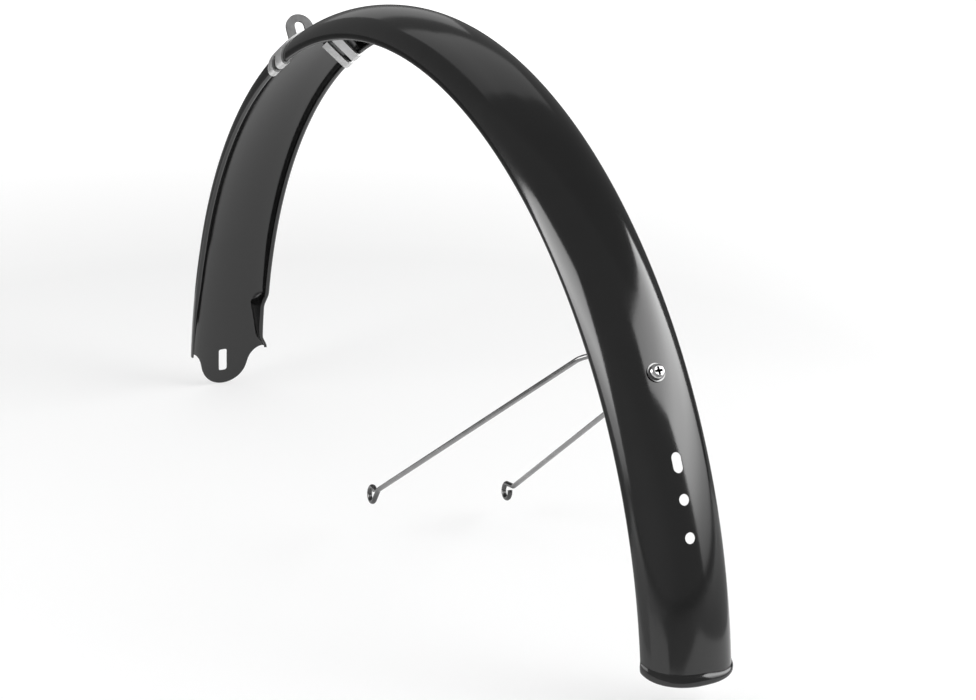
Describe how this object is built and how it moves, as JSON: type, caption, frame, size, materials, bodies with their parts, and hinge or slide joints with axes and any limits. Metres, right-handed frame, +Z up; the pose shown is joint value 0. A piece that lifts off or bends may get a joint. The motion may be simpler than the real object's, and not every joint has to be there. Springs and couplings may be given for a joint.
{
  "type": "bicycle mudguard",
  "caption": "Arched steel rear mudguard with rolled edges, a slotted front tongue, a strap bracket with a slotted lug, and a bent wire stay with looped ends for the frame's eyelets.",
  "frame": {"origin": "middle of the slot in the bracket's upright lug, on the lug's front face, where the bridge bolt of a bicycle frame goes through", "axes": "+X forward along the bicycle, +Y to its left, +Z up; the wheel's axle lies along Y, 0.207 m behind and 0.322 m below the origin"},
  "size_m": [0.7404, 0.1076, 0.3695],
  "materials": {
    "black_enamel": "gloss black stove enamel, inside and out",
    "bracket_steel": "bright zinc-plated strip, drawn grain along its length",
    "wire_steel": "plated drawn wire",
    "bright_plate": "bright nickel plate"
  },
  "bodies": {
    "root": {"blade": "black_enamel", "bridge_bracket": "bracket_steel", "stay_wire": "wire_steel", "stay_screw": "bright_plate", "outer_washer": "bright_plate", "inner_washer": "bright_plate", "stay_nut": "bright_plate"}
  },
  "joints": []
}
